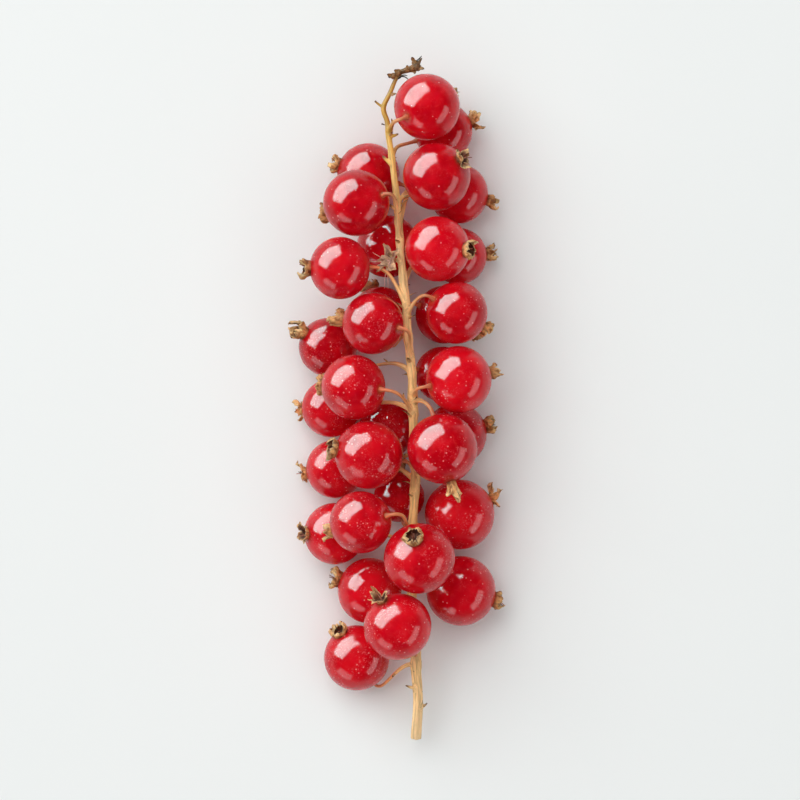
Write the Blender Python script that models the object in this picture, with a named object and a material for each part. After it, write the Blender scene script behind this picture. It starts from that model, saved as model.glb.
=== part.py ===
"""Sprig of redcurrants, as picked, lying on a flat surface.

Metres, +Z up. The origin is on the surface, at the middle of the sprig's box. The stem lies
along Y: its cut end is at -Y and its withered tip at +Y. Berries crowd round it in two layers,
each on its own short stalk, and each still carries its dried flower at the far end.
"""
import math
import random

import bmesh
import bpy
import numpy as np
from mathutils import Vector

MM = 0.001

# Clearances
GAP = 0.36 * MM             # clear space that the layout keeps between pieces
JOIN_GAP = 0.3 * MM         # space between a stalk or a dried flower and its berry
REST_FLAT = 0.12 * MM       # how far a berry flattens where it rests on the surface
LOWEST_STALK = 1.3 * MM     # no stalk is guided lower than this

# Stem: a hand-set route, from the cut end to the withered tip: x, y, z, radius, in millimetres
STEM_ROUTE = (
    (1.6, -47.0, 3.6, 0.72),
    (1.9, -42.0, 4.8, 0.64),
    (1.6, -36.0, 6.0, 0.66),
    (1.1, -29.0, 6.7, 0.62),
    (1.0, -21.5, 6.9, 0.60),
    (1.3, -15.0, 7.7, 0.58),
    (1.5, -9.0, 8.2, 0.57),
    (1.2, -3.0, 9.0, 0.55),
    (0.9, 3.0, 9.7, 0.54),
    (0.4, 9.5, 10.2, 0.52),
    (-0.2, 15.0, 10.4, 0.50),
    (-0.6, 20.0, 10.3, 0.48),
    (-0.9, 25.0, 10.1, 0.46),
    (-1.5, 29.0, 9.9, 0.42),
    (-1.9, 32.5, 9.8, 0.38),
    (-2.1, 35.0, 9.7, 0.36),
    (-2.7, 37.0, 9.6, 0.34),
    (-1.8, 39.0, 9.4, 0.31),
    (-1.1, 40.7, 9.2, 0.29),
    (-0.5, 41.7, 9.1, 0.34),
    (0.7, 42.1, 9.0, 0.40),
    (1.6, 42.5, 8.9, 0.52),
    (1.9, 43.0, 8.8, 0.26),
    (2.3, 43.7, 8.7, 0.14),
)
STEM_SIDES = 8
STEM_STEPS = 3              # rings for each stretch of the route

# Stalks
STALK_RADIUS = 0.34 * MM
STALK_BASE = 1.5            # the stalk's foot and its berry end, as multiples of its radius
STALK_END = 1.55
STALK_SIDES = 6
STALK_STEPS = 6
STALK_LEAVE = 0.42          # how far the stalk keeps its first and last direction, over its reach
STALK_ARRIVE = 0.36
STALK_TIPWARD = 0.6         # how much of its first direction is along the stem, to the tip

# Berries
BERRY_SIDES = 16
BERRY_RINGS = 9
DIMPLE_DEPTH = 0.03         # at the stalk, over the radius
DIMPLE_WIDTH = 0.45         # radians from the stalk's pole

# Dried flowers
FLOWER_HEIGHT = 1.25 * MM
FLOWER_NECK = 0.80 * MM
FLOWER_MOUTH = 1.35 * MM
FLOWER_SIDES = 10
FLOWER_LOBES = 0.16         # how far its five lobes rise and spread, over its height and radius
FLOWER_WALL = 0.6           # where its wall is set, of the way from neck to mouth
FLOWER_LIP = (0.86, 0.62)   # its inner lip, over its height and its mouth's radius
FLOWER_FLOOR = 0.55         # its floor, over its height
MOUTH_RANGE = (0.8, 1.05)   # how much dried flowers differ
HEIGHT_RANGE = (0.8, 1.15)
FLOWER_REACH = 1.4 * MM     # radius of the ball that the layout keeps free for it
FLOWER_MIDDLE = 0.65        # that ball's middle, over the flower's height

ON_SURFACE = None           # a berry whose height is this rests on the surface

# Berries, from the tip to the cut end, as set out by hand, in millimetres and degrees:
# the stalk's place along the stem, the berry's x, y, z and diameter, and the way its dried
# flower faces: its heading from +X towards +Y, and its tilt above level.
# The layout then moves each berry a little, until all are clear of each other.
BERRIES = (
    (33.8, 3.1, 36.7, 11.6, 8.8, 28, -42),
    (30.5, 5.2, 34.3, ON_SURFACE, 7.8, 20, -10),
    (24.6, 4.3, 28.0, 11.9, 9.0, 34, 34),
    (21.8, 7.3, 25.9, ON_SURFACE, 8.0, -12, -4),
    (23.6, -4.7, 28.0, ON_SURFACE, 8.4, 163, 0),
    (19.5, -6.4, 23.8, 12.0, 8.8, 195, -32),
    (14.5, -2.0, 18.5, ON_SURFACE, 8.4, 120, -22),
    (11.0, -8.0, 15.8, 12.2, 8.2, 181, 4),
    (12.4, 4.6, 17.6, 12.2, 8.6, -3, 28),
    (13.6, 7.3, 17.5, ON_SURFACE, 7.6, 5, -22),
    (9.6, 6.8, 9.8, 12.0, 8.2, -30, -25),
    (6.5, 5.4, 9.5, ON_SURFACE, 7.8, -20, -20),
    (3.8, -4.5, 8.4, 12.2, 8.2, 170, -28),
    (6.8, -2.5, 10.0, ON_SURFACE, 7.8, 110, -20),
    (2.0, -8.8, 5.6, ON_SURFACE, 7.8, 150, 22),
    (-1.5, 6.9, 1.4, 11.9, 8.8, 12, -22),
    (-0.5, 5.2, 1.8, ON_SURFACE, 7.4, -10, -20),
    (-3.5, -6.4, 0.0, 12.0, 8.6, 175, -30),
    (-3.2, -8.9, -2.6, ON_SURFACE, 7.8, 185, -22),
    (-9.2, -1.9, -5.6, ON_SURFACE, 7.6, 120, -22),
    (-7.0, 6.9, -6.0, ON_SURFACE, 8.4, 15, -5),
    (-1.8, 4.6, -8.3, 13.1, 9.2, -75, 14),
    (-14.0, -4.8, -9.2, 12.0, 9.0, 170, 12),
    (-12.4, -9.2, -10.8, ON_SURFACE, 7.8, 190, -15),
    (-18.4, -0.6, -14.6, ON_SURFACE, 6.8, 100, -20),
    (-20.5, -5.4, -17.3, 10.9, 8.2, 195, -28),
    (-22.0, -9.4, -19.8, ON_SURFACE, 8.2, 180, 26),
    (-26.5, 1.6, -21.6, 12.9, 9.4, 105, 54),
    (-23.0, 7.4, -17.0, ON_SURFACE, 9.4, 25, -12),
    (-31.5, 7.6, -27.2, ON_SURFACE, 9.4, -15, -8),
    (-30.5, -4.6, -27.2, ON_SURFACE, 8.8, 160, -5),
    (-34.5, -0.8, -31.6, 12.0, 9.0, 120, 25),
    (-37.0, -6.2, -35.8, ON_SURFACE, 8.8, 123, 24),
)
# Inner berries, counted from one, whose dried flowers this solid model leaves out
INNER_BERRIES = {7, 10, 12, 14, 17, 20, 25}

# Layout
LAYOUT_STEPS = 900
PULL = 0.06                 # how strongly each berry is drawn back to its place, at first
PULL_SPAN = 0.625           # the pull fades out over this share of the steps
STALK_SAMPLES = 9

COLOURS = {
    "stem": ((0.62, 0.42, 0.16), 0.62),
    "berry": ((0.62, 0.006, 0.018), 0.12),
    "dried_flower": ((0.50, 0.33, 0.15), 0.85),
}


def clear_scene():
    for thing in list(bpy.data.objects):
        bpy.data.objects.remove(thing, do_unlink=True)


def material(name):
    colour, roughness = COLOURS[name]
    made = bpy.data.materials.new(name)
    made.use_nodes = True
    shader = made.node_tree.nodes["Principled BSDF"]
    shader.inputs["Base Color"].default_value = (*colour, 1.0)
    shader.inputs["Roughness"].default_value = roughness
    shader.inputs["Metallic"].default_value = 0.0
    return made


def add_object(name, mesh, finish):
    mesh.materials.append(finish)
    mesh.shade_smooth()
    thing = bpy.data.objects.new(name, mesh)
    bpy.context.scene.collection.objects.link(thing)
    return thing


def smooth_points(points, steps):
    """Points on a Catmull-Rom curve through the given points, which may hold a radius too."""
    points = np.array(points, dtype=float)
    padded = np.vstack((2 * points[0] - points[1], points, 2 * points[-1] - points[-2]))
    made = []
    for index in range(len(points) - 1):
        before, start, end, after = padded[index:index + 4]
        for step in range(steps):
            t = step / steps
            made.append(0.5 * (2 * start + (end - before) * t
                               + (2 * before - 5 * start + 4 * end - after) * t ** 2
                               + (3 * start - before - 3 * end + after) * t ** 3))
    made.append(points[-1])
    return np.array(made)


def unit(vector):
    return vector / np.linalg.norm(vector)


def stem_place(stem, along):
    """The stem's middle and its direction towards the tip, where its y is the one given."""
    index = int(np.clip(np.searchsorted(stem[:, 1], along), 1, len(stem) - 1))
    low, high = stem[index - 1], stem[index]
    share = (along - low[1]) / (high[1] - low[1])
    return low[:3] + (high - low)[:3] * share, unit((high - low)[:3])


def facing(heading, tilt):
    heading, tilt = math.radians(heading), math.radians(tilt)
    return np.array((math.cos(heading) * math.cos(tilt), math.sin(heading) * math.cos(tilt),
                     math.sin(tilt)))


def stalk_guides(root, tip_ward, centre, radius, axis):
    """The four guide points of a stalk's curve, from inside the stem to the berry."""
    pole = centre - axis * (radius * (1 - DIMPLE_DEPTH) + JOIN_GAP)
    reach = np.linalg.norm(pole - root)
    aside = unit(pole - root)
    leave = root + unit(aside + STALK_TIPWARD * tip_ward) * reach * STALK_LEAVE
    arrive = pole - axis * reach * STALK_ARRIVE
    leave[2] = max(leave[2], LOWEST_STALK)
    arrive[2] = max(arrive[2], LOWEST_STALK)
    return root, leave, arrive, pole


def bezier(guides, shares):
    shares = np.asarray(shares)[:, None]
    one, two, three, four = guides
    return ((1 - shares) ** 3 * one + 3 * (1 - shares) ** 2 * shares * two
            + 3 * (1 - shares) * shares ** 2 * three + shares ** 3 * four)


def push_off(points, others, needs):
    """How far each point must move so that it is the needed distance from every other."""
    apart = points[:, None, :] - others[None, :, :]
    distance = np.maximum(np.linalg.norm(apart, axis=2), 1e-9)
    short = np.maximum(needs - distance, 0.0)
    return np.einsum("ij,ijk->ijk", short / distance, apart)


class Layout:
    """The berries' places, axes and stalks."""

    def __init__(self, stem):
        rows = BERRIES
        self.stem = stem
        self.count = len(rows)
        self.radius = np.array([row[4] / 2 for row in rows]) * MM
        self.resting = np.array([row[3] is ON_SURFACE for row in rows])
        self.target = np.array([(row[1], row[2], row[3] or 0.0) for row in rows]) * MM
        self.target[self.resting, 2] = self.radius[self.resting] - REST_FLAT
        self.axis = np.array([facing(row[5], row[6]) for row in rows])
        self.roots = [stem_place(stem, row[0] * MM) for row in rows]
        self.centre = self.target.copy()

    def guides(self, index):
        root, tip_ward = self.roots[index]
        return stalk_guides(root, tip_ward, self.centre[index], self.radius[index],
                            self.axis[index])

    def flower(self):
        """The middle of each dried flower."""
        return self.centre + self.axis * (self.radius + FLOWER_HEIGHT * FLOWER_MIDDLE)[:, None]

    def pushes(self):
        """One round of pushes that clear berries of berries, stem, stalks and flowers."""
        radius, centre = self.radius, self.centre
        off_berries = push_off(centre, centre, radius[:, None] + radius[None, :] + GAP)
        off_berries[np.arange(self.count), np.arange(self.count)] = 0.0
        push = 0.5 * off_berries.sum(axis=1)
        needs = radius[:, None] + self.stem[None, :, 3] + GAP
        off_stem = push_off(centre, self.stem[:, :3], needs)
        push += self.deepest(off_stem)
        flowers = self.flower()
        off_flowers = push_off(centre, flowers, radius[:, None] + FLOWER_REACH + GAP)
        off_flowers[np.arange(self.count), np.arange(self.count)] = 0.0
        push += 0.5 * off_flowers.sum(axis=1) - 0.5 * off_flowers.sum(axis=0)
        needs = FLOWER_REACH + self.stem[None, :, 3] + GAP
        push += self.deepest(push_off(flowers, self.stem[:, :3], np.repeat(needs, self.count, 0)))
        shares = np.linspace(0.1, 1.0, STALK_SAMPLES)
        for index in range(self.count):
            stalk = bezier(self.guides(index), shares)
            others = np.arange(self.count) != index
            needs = (radius[others] + STALK_RADIUS * STALK_END + GAP)[:, None]
            push[others] += self.deepest(push_off(centre[others], stalk, needs))
            flower_needs = np.full((others.sum(), 1), FLOWER_REACH + STALK_RADIUS + GAP)
            push[others] += self.deepest(push_off(flowers[others], stalk, flower_needs))
        return push

    @staticmethod
    def deepest(pushes):
        """The longest of each point's pushes."""
        longest = np.argmax(np.linalg.norm(pushes, axis=2), axis=1)
        return pushes[np.arange(len(pushes)), longest]

    def settle(self):
        for step in range(LAYOUT_STEPS):
            pull = PULL * max(0.0, 1.0 - step / (PULL_SPAN * LAYOUT_STEPS))
            self.centre += pull * (self.target - self.centre)
            push = self.pushes()
            push[self.resting, 2] = 0.0
            self.centre += 0.5 * push
            self.centre[:, 2] = np.maximum(self.centre[:, 2], self.radius - REST_FLAT)


def ring_frame(direction, hint):
    """Two directions across the given one, the first as near to the hint as it can be."""
    across = unit(hint - direction * np.dot(hint, direction))
    return across, np.cross(direction, across)


def tube(points, radii, sides):
    """A closed round tube through the points, with flat ends."""
    mesh = bmesh.new()
    hint = np.array((1.0, 0.1, 0.3))
    rings = []
    for index, point in enumerate(points):
        before, after = points[max(index - 1, 0)], points[min(index + 1, len(points) - 1)]
        direction = unit(after - before)
        across, up = ring_frame(direction, hint)
        hint = across
        turns = [2 * math.pi * side / sides for side in range(sides)]
        rings.append([mesh.verts.new(point + radii[index] * (math.cos(t) * across + math.sin(t) * up))
                      for t in turns])
    for low, high in zip(rings, rings[1:]):
        for side in range(sides):
            after = (side + 1) % sides
            mesh.faces.new((low[side], low[after], high[after], high[side]))
    mesh.faces.new(reversed(rings[0]))
    mesh.faces.new(rings[-1])
    return mesh


def finish_mesh(mesh, name):
    made = bpy.data.meshes.new(name)
    mesh.to_mesh(made)
    mesh.free()
    return made


def make_stem(layout, finish):
    """The main stem and its stalks, one grown piece."""
    stem = layout.stem
    main = add_object("stem", finish_mesh(tube(stem[:, :3], stem[:, 3], STEM_SIDES), "stem"), finish)
    shoots = bpy.data.collections.new("shoots")
    bpy.context.scene.collection.children.link(shoots)
    shares = np.sin(np.linspace(0.0, math.pi / 2, STALK_STEPS))
    for index in range(layout.count):
        points = bezier(layout.guides(index), shares)
        swell = (STALK_BASE - 1) * (1 - shares) ** 4 + (STALK_END - 1) * shares ** 6
        shoot = finish_mesh(tube(points, STALK_RADIUS * (1 + swell), STALK_SIDES), "stalk")
        helper = bpy.data.objects.new(f"stalk_{index + 1:02d}", shoot)
        helper.hide_render = True
        helper.display_type = "WIRE"
        shoots.objects.link(helper)
    union = main.modifiers.new("stalks", "BOOLEAN")
    union.operation = "UNION"
    union.operand_type = "COLLECTION"
    union.collection = shoots
    union.solver = "EXACT"


def turned(profile, sides, centre, axis, lobes=0.0, phase=0.0):
    """A closed turned shape, from pole to pole.

    profile holds rows of distance along the axis, radius, and how fully the five lobes show there.
    """
    mesh = bmesh.new()
    across, up = ring_frame(axis, np.array((0.31, 0.17, 0.93)))
    rings = []
    for height, radius, weight in profile:
        if radius == 0.0:
            rings.append([mesh.verts.new(centre + axis * height)])
            continue
        ring = []
        for side in range(sides):
            turn = 2 * math.pi * side / sides + phase
            wave = 1.0 + lobes * weight * math.cos(5 * (turn - phase))
            spot = math.cos(turn) * across + math.sin(turn) * up
            ring.append(mesh.verts.new(centre + axis * height * wave + spot * radius * wave))
        rings.append(ring)
    for low, high in zip(rings, rings[1:]):
        for side in range(sides):
            after = (side + 1) % sides
            if len(low) == 1:
                mesh.faces.new((low[0], high[after], high[side]))
            elif len(high) == 1:
                mesh.faces.new((low[side], low[after], high[0]))
            else:
                mesh.faces.new((low[side], low[after], high[after], high[side]))
    bmesh.ops.recalc_face_normals(mesh, faces=mesh.faces)
    return mesh


def berry_profile(radius):
    profile = []
    for ring in range(BERRY_RINGS + 1):
        angle = math.pi * ring / BERRY_RINGS
        dimple = 1.0 - DIMPLE_DEPTH * math.exp(-(angle / DIMPLE_WIDTH) ** 2)
        across = 0.0 if ring in (0, BERRY_RINGS) else radius * dimple * math.sin(angle)
        profile.append((-radius * dimple * math.cos(angle), across, 0.0))
    return profile


def make_berry(name, centre, radius, axis, resting, finish):
    mesh = turned(berry_profile(radius), BERRY_SIDES, centre, axis)
    if resting:
        cut = bmesh.ops.bisect_plane(mesh, geom=mesh.verts[:] + mesh.edges[:] + mesh.faces[:],
                                     plane_co=(0, 0, 0), plane_no=(0, 0, 1), clear_inner=True)
        rim = [part for part in cut["geom_cut"] if isinstance(part, bmesh.types.BMEdge)]
        bmesh.ops.contextual_create(mesh, geom=rim)
        bmesh.ops.recalc_face_normals(mesh, faces=mesh.faces)
    add_object(name, finish_mesh(mesh, name), finish)


def make_flower(name, centre, radius, axis, chance, finish):
    """A dried flower: a crumpled cup with five short lobes."""
    mouth = FLOWER_MOUTH * chance.uniform(*MOUTH_RANGE)
    height = FLOWER_HEIGHT * chance.uniform(*HEIGHT_RANGE)
    profile = (
        (0.0, 0.0, 0.0),
        (0.0, FLOWER_NECK, 0.0),
        (height * FLOWER_WALL, FLOWER_NECK + FLOWER_WALL * (mouth - FLOWER_NECK), 0.3),
        (height, mouth, 1.0),
        (height * FLOWER_LIP[0], mouth * FLOWER_LIP[1], 0.6),
        (height * FLOWER_FLOOR, 0.0, 0.0),
    )
    base = centre + axis * (radius + JOIN_GAP)
    phase = chance.uniform(0, math.tau)
    mesh = turned(profile, FLOWER_SIDES, base, axis, lobes=FLOWER_LOBES, phase=phase)
    add_object(name, finish_mesh(mesh, name), finish)


def stand_on_origin():
    """Moves every piece so that the origin is under the middle of the whole sprig."""
    bpy.context.view_layer.update()
    corners = [Vector(corner) for thing in bpy.data.objects if not thing.hide_render
               for corner in thing.bound_box]
    shift = Vector((0, 0, 0))
    for way in range(2):
        values = [corner[way] for corner in corners]
        shift[way] = -(min(values) + max(values)) / 2
    for thing in bpy.data.objects:
        thing.location = shift


def build():
    clear_scene()
    finishes = {name: material(name) for name in COLOURS}
    stem = smooth_points(np.array(STEM_ROUTE) * MM, STEM_STEPS)
    layout = Layout(stem)
    layout.settle()
    make_stem(layout, finishes["stem"])
    chance = random.Random(7)
    for index in range(layout.count):
        number = index + 1
        place = layout.centre[index], layout.radius[index], layout.axis[index]
        make_berry(f"berry_{number:02d}", *place, layout.resting[index], finishes["berry"])
        if number not in INNER_BERRIES:
            make_flower(f"dried_flower_{number:02d}", *place, chance, finishes["dried_flower"])
    stand_on_origin()


build()
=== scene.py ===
"""The looks of a sprig of redcurrants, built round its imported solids.

Everything is made in the solids' own frame: metres, +Z up, the stem along Y with its tip at +Y.
A berry's middle, size and axis are read from its solid, and the stem repeats the solid's route.
Fine shapes are worked out in millimetres and scaled as they are added.
"""
import math
import random

import bpy
import numpy as np
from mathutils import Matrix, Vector, noise
from mathutils.kdtree import KDTree


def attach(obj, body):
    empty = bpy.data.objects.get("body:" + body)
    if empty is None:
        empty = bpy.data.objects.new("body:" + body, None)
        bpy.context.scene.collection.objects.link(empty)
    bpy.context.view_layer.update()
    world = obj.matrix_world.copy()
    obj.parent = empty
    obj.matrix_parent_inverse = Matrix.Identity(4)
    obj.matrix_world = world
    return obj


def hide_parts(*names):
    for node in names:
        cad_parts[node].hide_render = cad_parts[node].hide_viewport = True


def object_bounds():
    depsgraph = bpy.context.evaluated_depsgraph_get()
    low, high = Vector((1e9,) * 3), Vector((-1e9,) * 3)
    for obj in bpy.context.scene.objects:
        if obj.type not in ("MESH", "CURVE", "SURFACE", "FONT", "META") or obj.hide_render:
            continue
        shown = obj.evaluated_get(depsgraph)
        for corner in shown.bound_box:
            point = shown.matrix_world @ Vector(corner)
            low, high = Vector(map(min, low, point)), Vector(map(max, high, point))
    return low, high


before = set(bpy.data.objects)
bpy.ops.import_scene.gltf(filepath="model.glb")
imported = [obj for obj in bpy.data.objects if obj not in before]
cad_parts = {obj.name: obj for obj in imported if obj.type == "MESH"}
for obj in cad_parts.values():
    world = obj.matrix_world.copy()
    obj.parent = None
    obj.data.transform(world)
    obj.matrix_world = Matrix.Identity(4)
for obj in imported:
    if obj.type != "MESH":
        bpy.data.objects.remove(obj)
cad_low, cad_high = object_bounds()

MM = 0.001
NOISE_SEED = 4              # without a seed, each run's noise vectors would differ
CLEAR = 0.02                # fine surfaces keep this far off the surface and other berries, in mm

# The solid stem's route before it is centred: x, y, z, radius, in millimetres
STEM_ROUTE = (
    (1.6, -47.0, 3.6, 0.72),
    (1.9, -42.0, 4.8, 0.64),
    (1.6, -36.0, 6.0, 0.66),
    (1.1, -29.0, 6.7, 0.62),
    (1.0, -21.5, 6.9, 0.60),
    (1.3, -15.0, 7.7, 0.58),
    (1.5, -9.0, 8.2, 0.57),
    (1.2, -3.0, 9.0, 0.55),
    (0.9, 3.0, 9.7, 0.54),
    (0.4, 9.5, 10.2, 0.52),
    (-0.2, 15.0, 10.4, 0.50),
    (-0.6, 20.0, 10.3, 0.48),
    (-0.9, 25.0, 10.1, 0.46),
    (-1.5, 29.0, 9.9, 0.42),
    (-1.9, 32.5, 9.8, 0.38),
    (-2.1, 35.0, 9.7, 0.36),
    (-2.7, 37.0, 9.6, 0.34),
    (-1.8, 39.0, 9.4, 0.31),
    (-1.1, 40.7, 9.2, 0.29),
    (-0.5, 41.7, 9.1, 0.34),
    (0.7, 42.1, 9.0, 0.40),
    (1.6, 42.5, 8.9, 0.52),
    (1.9, 43.0, 8.8, 0.26),
    (2.3, 43.7, 8.7, 0.14),
)
# Where each berry's stalk leaves the stem, along Y on that route, from the tip down
STALK_PLACES = (
    33.8, 30.5, 24.6, 21.8, 23.6, 19.5, 14.5, 11.0, 12.4, 13.6, 9.6, 6.5, 3.8, 6.8, 2.0, -1.5,
    -0.5, -3.5, -3.2, -9.2, -7.0, -1.8, -14.0, -12.4, -18.4, -20.5, -22.0, -26.5, -23.0, -31.5,
    -30.5, -34.5, -37.0,
)
# How the solid's stalks run, as its own source has it
STALK_LEAVE = 0.42
STALK_ARRIVE = 0.36
STALK_TIPWARD = 0.6
STALK_DIMPLE = 0.03
STALK_GAP = 0.3
LOWEST_STALK = 1.3

# Short stalks that have lost their berries: place along the stem, heading and rise in degrees,
# length and thickness in millimetres
STUBS = (
    (37.1, 178, 8, 1.0, 0.20),
    (33.2, -18, 10, 0.9, 0.22),
    (29.4, 160, 5, 1.1, 0.26),
    (23.4, 186, 42, 1.0, 0.26),
    (16.4, 172, 20, 1.5, 0.22),
    (-11.6, 14, 30, 1.3, 0.24),
    (-40.2, 200, 25, 1.2, 0.24),
    (-43.1, 10, 12, 0.8, 0.24),
)

noise.seed_set(NOISE_SEED)

# Dried flowers, by berry: how each one withered. The rest take a style by chance.
FLOWER_STYLES = {
    3: "star", 4: "tuft", 5: "ring", 6: "ring", 8: "ring", 9: "ring", 11: "tuft", 16: "tuft",
    22: "tube", 23: "ring", 27: "star", 28: "ring", 29: "star", 31: "ring", 32: "star",
    33: "ring",
}


# ------------------------------------------------------------------ small helpers

def unit(vector):
    return vector / np.linalg.norm(vector)


def smoothstep(value):
    value = np.clip(value, 0.0, 1.0)
    return value * value * (3.0 - 2.0 * value)


def blend(one, two, share):
    """Colours mixed, with one share for all or a share for each row."""
    share = np.asarray(share, dtype=float)
    if share.ndim == 1:
        share = share[:, None]
    return np.asarray(one) * (1.0 - share) + np.asarray(two) * share


def smooth_points(points, steps):
    """Points on a Catmull-Rom curve through the given points, which may hold a radius too."""
    points = np.array(points, dtype=float)
    padded = np.vstack((2 * points[0] - points[1], points, 2 * points[-1] - points[-2]))
    made = []
    for index in range(len(points) - 1):
        before, start, end, after = padded[index:index + 4]
        for step in range(steps):
            t = step / steps
            made.append(0.5 * (2 * start + (end - before) * t
                               + (2 * before - 5 * start + 4 * end - after) * t ** 2
                               + (3 * start - before - 3 * end + after) * t ** 3))
    made.append(points[-1])
    return np.array(made)


def bezier(guides, shares):
    shares = np.asarray(shares)[:, None]
    one, two, three, four = guides
    return ((1 - shares) ** 3 * one + 3 * (1 - shares) ** 2 * shares * two
            + 3 * (1 - shares) * shares ** 2 * three + shares ** 3 * four)


def waves(points, scale, seed):
    """Smooth random vectors, about -1 to 1, at an array of points."""
    shift = Vector((seed * 3.17, seed * 1.71, seed * 2.39))
    return np.array([noise.noise_vector(Vector(point) * scale + shift) for point in points])


def heading(turn, rise):
    turn, rise = math.radians(turn), math.radians(rise)
    return np.array((math.cos(turn) * math.cos(rise), math.sin(turn) * math.cos(rise),
                     math.sin(rise)))


# ------------------------------------------------------------------ reading the solids

def corners(name):
    """A solid's corner points, in millimetres, each once."""
    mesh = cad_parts[name].data
    flat = np.zeros(len(mesh.vertices) * 3)
    mesh.vertices.foreach_get("co", flat)
    return np.unique(np.round(flat.reshape(-1, 3) / MM, 4), axis=0)


def berry_facts(name):
    """The middle, radius and axis of a berry's solid: the axis runs from stalk to flower."""
    points = corners(name)
    above_flat = points[points[:, 2] > 0.05]
    terms = np.column_stack((2 * above_flat, np.ones(len(above_flat))))
    fit = np.linalg.lstsq(terms, (above_flat ** 2).sum(axis=1), rcond=None)[0]
    middle = fit[:3]
    distance = np.linalg.norm(above_flat - middle, axis=1)
    dimple = above_flat[np.argmin(distance)]
    return middle, distance.max(), unit(middle - dimple)


def stem_shift():
    """How far the solid's stem stands from the route, read at its cut end."""
    points = corners("stem")
    ring = points[points[:, 1] < points[:, 1].min() + 0.8]
    return ring.mean(axis=0) - np.array(STEM_ROUTE[0][:3])


# ------------------------------------------------------------------ meshes

class Shape:
    """Points, faces, tints and fibre directions of one piece, added part by part."""

    def __init__(self):
        self.points, self.faces, self.tint, self.fibre = [], [], [], []
        self.count = 0

    def add(self, points, faces, tint, fibre):
        points = np.asarray(points, dtype=float)
        tint = np.broadcast_to(np.asarray(tint, dtype=float), points.shape)
        self.points.append(points)
        self.faces += [tuple(spot + self.count for spot in face) for face in faces]
        self.tint.append(tint)
        self.fibre.append(np.asarray(fibre, dtype=float))
        self.count += len(points)

    def all_points(self):
        return np.vstack(self.points)

    def attributes(self):
        return {"tint": np.vstack(self.tint), "fibre": np.vstack(self.fibre)}


def add_piece(name, points, faces, finish, replaced=(), attributes=None, middle=(0, 0, 0)):
    """A named mesh piece, from millimetres, which rides on the root body."""
    mesh = bpy.data.meshes.new(name)
    middle = np.asarray(middle, dtype=float)
    local = (np.asarray(points) - middle) * MM
    mesh.from_pydata([tuple(point) for point in local], [], [tuple(face) for face in faces])
    for label, values in (attributes or {}).items():
        values = np.asarray(values, dtype=np.float32)
        kind = "FLOAT" if values.ndim == 1 else "FLOAT_VECTOR"
        layer = mesh.attributes.new(label, kind, "POINT")
        layer.data.foreach_set("value" if values.ndim == 1 else "vector", values.ravel())
    mesh.materials.append(finish)
    mesh.shade_smooth()
    piece = bpy.data.objects.new(name, mesh)
    piece.location = Vector(middle * MM)
    bpy.context.scene.collection.objects.link(piece)
    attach(piece, "root")
    for solid in replaced:
        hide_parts(solid)
    return piece


def ring_faces(rings, sides):
    """Faces of a stack of rings, numbered ring by ring, open at both ends."""
    faces = []
    for ring in range(rings - 1):
        for side in range(sides):
            after = (side + 1) % sides
            low, high = ring * sides, (ring + 1) * sides
            faces.append((low + side, low + after, high + after, high + side))
    return faces


def closed_faces(rings, sides):
    """As ring_faces, with one point added after the rings for each end."""
    faces = ring_faces(rings, sides)
    first, last = rings * sides, rings * sides + 1
    top = (rings - 1) * sides
    for side in range(sides):
        after = (side + 1) % sides
        faces.append((first, after, side))
        faces.append((last, top + side, top + after))
    return faces


def lengths_along(points):
    """How far along the curve each of its points is."""
    steps = np.linalg.norm(np.diff(points, axis=0), axis=1)
    return np.concatenate(([0.0], np.cumsum(steps)))


def frames_along(points):
    """At each point of a curve: its direction, and two directions across it, without twist."""
    directions = np.gradient(points, axis=0)
    directions /= np.linalg.norm(directions, axis=1)[:, None]
    hint = np.array((1.0, 0.1, 0.3))
    if abs(np.dot(hint, directions[0])) > 0.9 * np.linalg.norm(hint):
        hint = np.array((0.2, 1.0, 0.3))
    across = []
    for direction in directions:
        hint = unit(hint - direction * np.dot(hint, direction))
        across.append(hint)
    across = np.array(across)
    return directions, across, np.cross(directions, across)


def tube(points, radii, sides, flutes=0.0, flute_count=5, seed=0):
    """A closed tube through the points: its points and faces. Flutes run along it."""
    points = np.asarray(points, dtype=float)
    radii = np.broadcast_to(np.asarray(radii, dtype=float), (len(points),))
    _, across, up = frames_along(points)
    turns = np.arange(sides) * math.tau / sides
    sway = 0.6 * np.sin(np.arange(len(points)) * 0.11 + seed)
    made = []
    for index, point in enumerate(points):
        reach = radii[index] * (1 + flutes * np.cos(flute_count * turns + sway[index] + seed))
        made.append(point + reach[:, None] * (np.cos(turns)[:, None] * across[index]
                                              + np.sin(turns)[:, None] * up[index]))
    made = np.vstack(made + [points[:1], points[-1:]])
    return made, closed_faces(len(points), sides)


BLADE_ROWS = 9
BLADE_COLUMNS = 7
BLADE_THICKNESS = 0.05


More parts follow.
